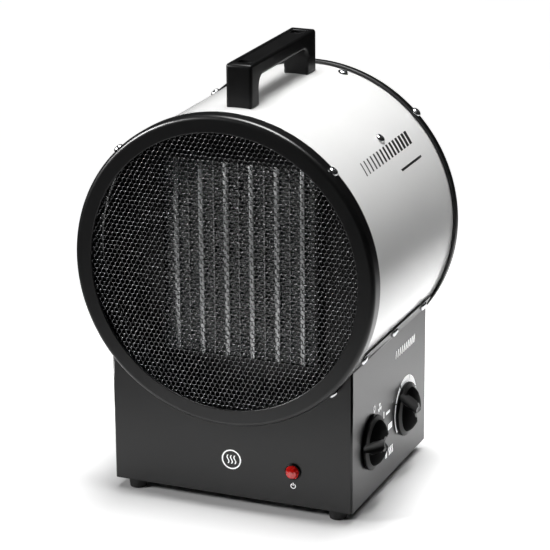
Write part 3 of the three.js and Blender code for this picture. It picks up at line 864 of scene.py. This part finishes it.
class HEATER_OT_cable_inlet(Operator):
    """Adds the open cable inlet with its hexagonal collar"""

    bl_idname = "heater.cable_inlet"
    bl_label = "Cable inlet"

    def execute(self, context):
        low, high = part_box("cable_inlet")
        wall = REAR_PANEL_HIGH.y + 0.0004
        bore = 0.005
        sleeve = [
            (bore, low.y), (0.008, low.y), (0.008, wall), (0.0105, wall), (0.0108, wall + 0.0070),
            *arc((0.0086, high.y - 0.005), 0.0024, 0, 60, 4), (0.0058, high.y),
            *arc((bore + 0.0006, high.y - 0.0006), 0.0006, 90, 180, 3),
        ]
        collar = tube(bore, 0.0126, wall, wall + 0.0046, 6)
        nut = tube(bore, 0.0118, wall + 0.0052, wall + 0.0098, 6)
        middle = (low + high) / 2
        place = Matrix.Translation((middle.x, 0, middle.z - AXIS_HEIGHT)) @ DRUM_PLACE
        inlet = placed(joined(spun(sleeve, 48, closed=True), collar, nut), place)
        piece("cable_inlet_moulded", inlet, "black plastic", ["cable_inlet"])
        return {"FINISHED"}


# ---- controls ----

def knob_cap():
    """A skirted knob about local Z: a low domed grip with a sloping finger channel on each side."""
    skirt, lip = 0.0250, 0.0007
    outline = [
        (0, 0), (skirt, 0), *arc((skirt, lip), lip, 270, 360, 3), *arc((skirt, 0.0023), lip, 0, 80, 3),
        (0.0232, 0.0036), (0.0213, 0.0045), (0.0206, 0.0058), (0.0186, 0.0080), (0.0146, 0.0104),
        (0.0100, 0.0116), (0.0070, 0.0120), (0, 0.0121),
    ]
    # Each channel's floor rises from the skirt to a narrow waist at the top.
    radius, overrun = 0.0068, 0.02
    channels = []
    for side in (1, -1):
        low, high = Vector((side * 0.0225, 0, 0.0042)), Vector((side * 0.0022, 0, 0.0122))
        along = (high - low).normalized()
        lift = Vector((along.z * -side, 0, abs(along.x))) * radius
        past = along * overrun
        channels.append(rod(radius, low - past + lift, high + past + lift, 64))
    bm = carved(spun(outline, 96), *channels)
    # The lobes beside the channels take the knob's second finish: a matt copy of the black plastic at half
    # its colour and almost without reflection, which is painted shade on the lobes.
    foot, near, far = 0.0047, 0.0060, 0.0212
    for side in bm.faces:
        middle = side.calc_center_median()
        if middle.z > foot and abs(middle.y) > near and middle.xy.length < far:
            side.material_index = 1
    return bm


class HEATER_OT_knobs(Operator):
    """Adds the two control knobs"""

    bl_idname = "heater.knobs"
    bl_label = "Knobs"

    def execute(self, context):
        rests = (("selector", "selector_turn", -7), ("thermostat", "thermostat_turn", -45))
        for name, joint, rest in rests:
            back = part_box(name + "_knob")[0].x
            at = Vector((back, JOINT_AT[joint].y, JOINT_AT[joint].z))
            # Local X lies along Y at zero, and a negative rest turns the knob clockwise as seen from +X.
            bm = knob_cap()
            bm.transform(Matrix.Translation(at) @ SIDEWAYS @ Matrix.Rotation(math.radians(rest), 4, "Z"))
            made = piece(name + "_knob_moulded", bm, "black plastic", [name + "_knob"],
                         body=BODY_OF[name + "_knob"], crease=28)
            # The lobes' second finish holds painted shade.
            made.data.materials.append(finish_called("matt grip with painted shade"))
            soft = made.modifiers.new("Edges", "BEVEL")
            soft.width = 0.0003
            soft.segments = 2
            soft.limit_method = "ANGLE"
            soft.angle_limit = math.radians(34)
        return {"FINISHED"}


class HEATER_OT_pilot_lamp(Operator):
    """Adds the faceted red lamp and its bezel"""

    bl_idname = "heater.pilot_lamp"
    bl_label = "Pilot lamp"

    def execute(self, context):
        middle = middle_of("pilot_lamp_lens")
        place = facing((0, -1, 0), (middle.x, WRAP_LOW.y, middle.z))
        lens_outline = [
            (0, 0.0013), (0.0064, 0.0013), (0.0066, 0.0028), (0.0048, 0.0056), (0.0022, 0.0068), (0, 0.0070),
        ]
        facets = placed(spun(lens_outline, 12), place)
        piece("pilot_lamp_facets", facets, "red lens", ["pilot_lamp_lens"], crease=5)
        bezel_outline = [
            (0, -0.022), (0.0048, -0.022), (0.0052, -0.021), (0.0053, 0.0003), (0.0076, 0.0003),
            *arc((0.0071, 0.0017), 0.0005, 0, 180, 5), (0.0066, 0.0010), (0, 0.0010),
        ]
        bezel = placed(spun(bezel_outline, 48), place)
        piece("pilot_lamp_bezel", bezel, "black plastic", ["pilot_lamp_body"])
        return {"FINISHED"}


# ---- screws ----

HEAD_HEIGHT = 0.0028


def pan_head(depth):
    """A pan-head screw about local Z with a cross recess; the head's seat is at zero."""
    radius, shank, tip = 0.0048, 0.0019, 0.0012
    outline = [
        (0, -depth), (tip, -depth), (shank, tip - depth), (shank, 0), (radius - 0.0002, 0),
        (radius, 0.0004), (radius - 0.0001, 0.0010), (radius - 0.0007, 0.0019),
        (radius - 0.0018, 0.0025), (0.0014, HEAD_HEIGHT), (0, HEAD_HEIGHT),
    ]
    reach, half, bottom, taper = 0.0024, 0.00048, HEAD_HEIGHT - 0.0015, 0.45
    cross = []
    for angle in (0, 90):
        slot = block((-reach, -half, bottom), (reach, half, HEAD_HEIGHT + 0.001))
        for vert in slot.verts:
            if vert.co.z < HEAD_HEIGHT:
                vert.co.x *= taper
        cross.append(placed(slot, Matrix.Rotation(math.radians(angle), 4, "Z")))
    return carved(spun(outline, 32), *cross)


def screw_direction(name):
    """Outward direction of a CAD screw."""
    middle = middle_of(name)
    if name.startswith("flange"):
        tilt = sizes().flange_tilt
        return Vector((math.copysign(math.cos(tilt), middle.x), 0, -math.sin(tilt)))
    return Vector((middle.x, 0, middle.z - AXIS_HEIGHT)).normalized()


def screw_top(name, direction):
    """The middle of a CAD screw's highest points."""
    points = [vert.co for vert in frame["nodes"][name].data.vertices]
    highest = max(point.dot(direction) for point in points)
    top = [point for point in points if point.dot(direction) > highest - 1e-5]
    corners = {tuple(round(part, 6) for part in point) for point in top}
    return sum((Vector(corner) for corner in corners), Vector()) / len(corners)


class HEATER_OT_screws(Operator):
    """Adds every pan-head screw, with those of the rear panel"""

    bl_idname = "heater.screws"
    bl_label = "Screws"

    def execute(self, context):
        pattern = as_mesh("pan_head", pan_head(0.006))
        golden = math.radians(137.5)
        for i, name in enumerate(nodes_with("_screw")):
            direction = screw_direction(name)
            seat = screw_top(name, direction) - direction * HEAD_HEIGHT
            bm = bmesh.new()
            bm.from_mesh(pattern)
            bm.transform(facing(direction, seat, i * golden))
            piece(name + "_cross", bm, "bright zinc", [name])
        low, high = REAR_PANEL_LOW, REAR_PANEL_HIGH
        inset = 0.009
        heights = (low.z + inset, (low.z + high.z) / 2 - 0.01, high.z - inset)
        rear = bmesh.new()
        for i, z in enumerate(heights):
            for x in (low.x + inset, high.x - inset):
                one = pattern.copy()
                one.transform(facing((0, 1, 0), (x, high.y + 0.0001, z), i + 40 * x))
                rear.from_mesh(one)
                bpy.data.meshes.remove(one)
        piece("rear_panel_screws", rear, "bright zinc")
        bpy.data.meshes.remove(pattern)
        return {"FINISHED"}


# ---- printed marks ----

def strip_mark(pairs):
    """A flat strip through pairs of points, closed where its ends meet."""
    bm = bmesh.new()
    rows = [[bm.verts.new((*point, 0)) for point in pair] for pair in pairs]
    for (a, b), (c, d) in zip(rows, rows[1:]):
        bm.faces.new([a, c, d, b])
    bmesh.ops.remove_doubles(bm, verts=bm.verts, dist=1e-7)
    return bm


def ring_mark(at, outer, inner, start=0.0, end=360.0, steps=40):
    """A flat ring, or part of one, with angles in degrees."""
    return strip_mark(zip(arc(at, outer, start, end, steps), arc(at, inner, start, end, steps)))


def bar_mark(x, y, width, height, slant=0.0):
    """A bar whose lower left corner is at x, y; slant moves its top sideways."""
    return flat_shape([(x, y), (x + width, y), (x + width + slant, y + height), (x + slant, y + height)])


def wave_mark(x, y, height, swing, width, steps=14):
    """An upright wavy line, as drawn for warm air."""
    pairs = []
    for i in range(steps + 1):
        along = i / steps
        middle = x + swing * math.sin(2 * math.pi * along)
        pairs.append([(middle + side * width / 2, y + height * along) for side in (1, -1)])
    return strip_mark(pairs)


def petal_marks(at, radius):
    """A small three-bladed fan."""
    parts = []
    root = [(0.12 * radius, 0.10 * radius), (0.12 * radius, -0.10 * radius)]
    for start in (90, 210, 330):
        place = Matrix.Translation((*at, 0)) @ Matrix.Rotation(math.radians(start), 4, "Z")
        parts.append(placed(flat_shape(arc((0, 0), radius, -26, 34, 8) + root), place))
    parts.append(ring_mark(at, 0.22 * radius, 0.0001, steps=16))
    return joined(*parts)


def printed(name, shapes, look, place):
    """Lays flat shapes on a surface: place maps them from a local XY plane."""
    height = sizes().ink
    bm = raised(joined(*shapes), 2 * height)
    bmesh.ops.translate(bm, vec=(0, 0, -height), verts=bm.verts)
    place(bm)
    return piece(name, bm, look)


def on_plane(matrix):
    return lambda bm: bm.transform(matrix)


def on_drum(degrees):
    """Wraps local X along the drum and local Y round it, from an angle above the horizontal."""
    def wrap(bm):
        longest = 0.004
        edges = [line for line in bm.edges if line.calc_length() > longest]
        bmesh.ops.subdivide_edges(bm, edges=edges, cuts=3, use_grid_fill=True)
        for vert in bm.verts:
            angle = math.radians(degrees) + vert.co.y / DRUM_RADIUS
            radius = DRUM_RADIUS + vert.co.z
            vert.co = (radius * math.cos(angle), vert.co.x, AXIS_HEIGHT + radius * math.sin(angle))
    return wrap


# Local X and Y become +Y and +Z on the right-hand panel, and +X and +Z on the front panel.
RIGHT_SIDE = Matrix.Translation((PANEL_X, 0, 0)) @ SIDEWAYS
FRONT_SIDE = Matrix(((1, 0, 0, 0), (0, 0, -1, WRAP_LOW.y), (0, 1, 0, 0), (0, 0, 0, 1)))


def heat_scale(x, y, height, count, pitch):
    """Slanted bars that grow wider from left to right."""
    return [
        bar_mark(x + i * pitch, y, pitch * (0.24 + 0.48 * i / (count - 1)), height, 0.25 * height)
        for i in range(count)
    ]


def selector_marks():
    """Off, fan, and two heat levels round the selector, with a warm-air sign below."""
    knob = JOINT_AT["selector_turn"]

    def around(degrees, reach):
        turn = math.radians(degrees)
        return knob.y + reach * math.sin(turn), knob.z + reach * math.cos(turn)

    off = around(13, 0.0305)
    fan = around(39, 0.0335)
    low = around(67, 0.0375)
    high = around(94, 0.0375)
    zero = ring_mark((0, 0), 0.0033, 0.0019, steps=24)
    zero.transform(Matrix.Translation((*off, 0)) @ Matrix.Diagonal((0.72, 1.15, 1, 1)))
    marks = [zero, petal_marks(fan, 0.0044)]
    step, drop = 0.0030, 0.0034
    for (y, z), strokes in ((low, 1), (high, 2)):
        for i in range(strokes):
            marks.append(bar_mark(y - 0.0035 + step * i, z - drop, 0.0018, 0.0066))
        marks.append(bar_mark(y + step * strokes, z - 0.0026, 0.0105, 0.0026 + 0.0034 * (strokes - 1)))
    y, z = around(127, 0.0460)
    for i in range(3):
        marks.append(wave_mark(y + 0.0100 + 0.0042 * i, z - drop, height=0.0080, swing=0.0007, width=0.0024))
    marks.append(bar_mark(y, z - drop, 0.0040, 0.0062))
    return marks


def thermostat_marks():
    """A crescent that widens clockwise round the thermostat, cut by narrow gaps."""
    knob = JOINT_AT["thermostat_turn"]
    inner, outer, shift = 0.0250, 0.0302, 0.0036
    lean = math.radians(12)
    start, end, steps = 222.0, -52.0, 96
    gaps, half_gap = (150, 112, 62, 20), 1.6
    bm = bmesh.new()
    previous = None
    for i in range(steps + 1):
        degrees = start + (end - start) * i / steps
        turn = math.radians(degrees)
        reach = outer + shift * math.cos(turn - lean)
        near = bm.verts.new((knob.y + inner * math.cos(turn), knob.z + inner * math.sin(turn), 0))
        far = bm.verts.new((knob.y + reach * math.cos(turn), knob.z + reach * math.sin(turn), 0))
        if previous and all(abs(degrees - gap) > half_gap for gap in gaps):
            bm.faces.new([previous[0], near, far, previous[1]])
        previous = (near, far)
    loose = [vert for vert in bm.verts if not vert.link_faces]
    bmesh.ops.delete(bm, geom=loose, context="VERTS")
    return bm


def lamp_marks():
    """A power sign under the pilot lamp."""
    lamp = middle_of("pilot_lamp_lens")
    at = (lamp.x, lamp.z - 0.0142)
    return [
        ring_mark(at, 0.0026, 0.0019, 120, 420, 28),
        bar_mark(at[0] - 0.0004, at[1] + 0.0004, 0.0008, 0.0028),
    ]


def front_marks():
    """A ring with three warm-air waves, in the middle of the front panel."""
    at = (0.0, 0.0457)
    waves = [wave_mark(0.0034 * i, at[1] - 0.0042, 0.0084, 0.0009, 0.0012) for i in (-1, 0, 1)]
    return [ring_mark(at, 0.0096, 0.0083, steps=64), *waves]


class HEATER_OT_prints(Operator):
    """Adds the printed marks"""

    bl_idname = "heater.prints"
    bl_label = "Printed marks"

    def execute(self, context):
        side = on_plane(RIGHT_SIDE)
        printed("selector_print", selector_marks(), "white ink with painted glow", side)
        printed("thermostat_print", [thermostat_marks()], "white ink with painted glow", side)
        stripes = heat_scale(x=0.014, y=0.1205, height=0.0075, count=10, pitch=0.0053)
        printed("side_stripes_print", stripes, "white ink with painted glow", side)
        front = on_plane(FRONT_SIDE)
        printed("lamp_print", lamp_marks(), "white ink with painted glow", front)
        printed("front_print", front_marks(), "white ink with painted glow", front)
        stripes = heat_scale(x=-0.050, y=0.0005, height=0.0130, count=15, pitch=0.0080)
        printed("drum_stripes_print", stripes, "black ink", on_drum(36.5))
        rule = [bar_mark(0.018, 0, 0.052, 0.0022)]
        printed("drum_rule_print", rule, "black ink", on_drum(30.4))
        return {"FINISHED"}


# ---- carried parts ----

CARRIED = {
    "black coat": ["base_rear_panel", "base_floor", "heater_frame", "heater_baffle"],
    "zinc steel": ["motor_bracket", "fan_shaft", "selector_shaft", "thermostat_shaft"],
    "motor": ["motor_body"],
    "cream plastic": ["terminal_block", "thermal_cutout", "selector_body", "thermostat_body"],
}


class HEATER_OT_carried_parts(Operator):
    """Gives the parts that keep their CAD shape their finishes"""

    bl_idname = "heater.carried_parts"
    bl_label = "Carried parts"

    def execute(self, context):
        for look, names in CARRIED.items():
            for name in names:
                for holder in frame["nodes"][name].material_slots:
                    holder.material = finish_called(look)
        return {"FINISHED"}


# ---- stage ----

# Each light's place, aim, width, power, and the angle in degrees that its grid lets out.
SOFTBOXES = {
    "Top softbox": ((0, 0.05, 1.35), (0, 0, 0), 0.7, 4.0, 52),
    "Left softbox": ((-1.0, -0.80, 0.72), (0, 0, 0.27), 0.35, 1.1, 34),
    "Right softbox": ((0.62, 0.35, 0.75), (0.50, 0.30, 0), 0.5, 1.3, 60),
    "Rear softbox": ((0.28, 0.62, 0.8), (0.16, 0.34, 0), 0.35, 0.35, 45),
}


def softbox(name, at, aim, width, power, spread):
    """A square light behind a grid."""
    light = bpy.data.lights.new(name, "AREA")
    light.shape = "SQUARE"
    light.size = width
    light.energy = power
    light.spread = math.radians(spread)
    made = in_scene(name, light)
    made.location = at
    made.rotation_euler = (Vector(aim) - Vector(at)).to_track_quat("-Z", "Y").to_euler()


def camera():
    """A long lens from the right and above, level but for a slight roll."""
    azimuth, elevation, roll = (math.radians(angle) for angle in (22.73, 18.56, -0.45))
    distance, across, up_shift = 2.35816, 0.00376, -0.01577
    aim = Vector((0, -0.00066, 0.210))
    back = Vector((
        math.sin(azimuth) * math.cos(elevation),
        -math.cos(azimuth) * math.cos(elevation),
        math.sin(elevation),
    ))
    across_level = Vector((math.cos(azimuth), math.sin(azimuth), 0))
    rise = back.cross(across_level)
    right = math.cos(roll) * across_level + math.sin(roll) * rise
    up = math.cos(roll) * rise - math.sin(roll) * across_level
    data = bpy.data.cameras.new("Camera")
    data.lens = 166.15
    made = in_scene("Camera", data)
    turn = Matrix((right, up, back)).transposed().to_4x4()
    made.matrix_world = Matrix.Translation(aim + back * distance + right * across + up * up_shift) @ turn
    bpy.context.scene.camera = made


def studio_world():
    """Pale to the eye and dim in reflections, as a light tent's dark surroundings are."""
    world = bpy.data.worlds.new("Studio")
    world.use_nodes = True
    tree = world.node_tree
    background = tree.nodes["Background"]
    background.inputs["Color"].default_value = (1, 1, 1, 1)
    seen = tree.nodes.new("ShaderNodeLightPath")
    strength = tree.nodes.new("ShaderNodeMapRange")
    strength.inputs["To Min"].default_value = 0.012
    strength.inputs["To Max"].default_value = 1.0
    tree.links.new(seen.outputs["Is Camera Ray"], strength.inputs["Value"])
    tree.links.new(strength.outputs["Result"], background.inputs["Strength"])
    bpy.context.scene.world = world


def studio_floor():
    """A pale sheet, lit round the heater and evenly white further away."""
    bm = bmesh.new()
    bmesh.ops.create_grid(bm, x_segments=2, y_segments=2, size=6)
    floor = in_scene("studio_floor", as_mesh("studio_floor", bm))
    paper = Finish("Studio paper", IOR=1.4, Specular_IOR_Level=0.2)
    paper.set("Base Color", (0.9, 0.9, 0.9, 1))
    paper.set("Roughness", 0.8)
    away = paper.node("VectorMath", {"operation": "LENGTH"}, {0: paper.where}, "Value")
    seen = paper.node("LightPath", {}, {}, "Is Camera Ray")
    paper.set("Emission Color", (1, 1, 1, 1))
    paper.set("Emission Strength", seen * paper.mask(away, 0.25, 0.75))
    floor.data.materials.append(paper.material)


class HEATER_OT_stage(Operator):
    """Adds the floor, the studio light and the camera"""

    bl_idname = "heater.stage"
    bl_label = "Stage"

    def execute(self, context):
        studio_world()
        studio_floor()
        context.scene.view_settings.view_transform = "Standard"
        for name, settings in SOFTBOXES.items():
            softbox(name, *settings)
        camera()
        return {"FINISHED"}


# ---- panel and registration ----

STEPS = (
    HEATER_OT_stage,
    HEATER_OT_end_rings,
    HEATER_OT_drum,
    HEATER_OT_mesh_guard,
    HEATER_OT_handle,
    HEATER_OT_wire_guard,
    HEATER_OT_heating_block,
    HEATER_OT_fan,
    HEATER_OT_base,
    HEATER_OT_feet,
    HEATER_OT_cable_inlet,
    HEATER_OT_knobs,
    HEATER_OT_pilot_lamp,
    HEATER_OT_screws,
    HEATER_OT_prints,
    HEATER_OT_carried_parts,
)


class HEATER_PT_build(Panel):
    """Lists the heater's pieces"""

    bl_label = "Heater"
    bl_idname = "HEATER_PT_build"
    bl_space_type = "VIEW_3D"
    bl_region_type = "UI"
    bl_category = "Heater"

    def draw(self, context):
        for step in STEPS:
            self.layout.operator(step.bl_idname)


CLASSES = (HeaterSizes, HeaterColours, *STEPS, HEATER_PT_build)


def register():
    for kind in CLASSES:
        bpy.utils.register_class(kind)
    bpy.types.Scene.heater_sizes = PointerProperty(type=HeaterSizes)
    bpy.types.Scene.heater_colours = PointerProperty(type=HeaterColours)


def unregister():
    del bpy.types.Scene.heater_colours
    del bpy.types.Scene.heater_sizes
    for kind in reversed(CLASSES):
        bpy.utils.unregister_class(kind)


def main():
    register()
    for step in STEPS:
        group, action = step.bl_idname.split(".")
        getattr(getattr(bpy.ops, group), action)()


if __name__ == "__main__":
    main()
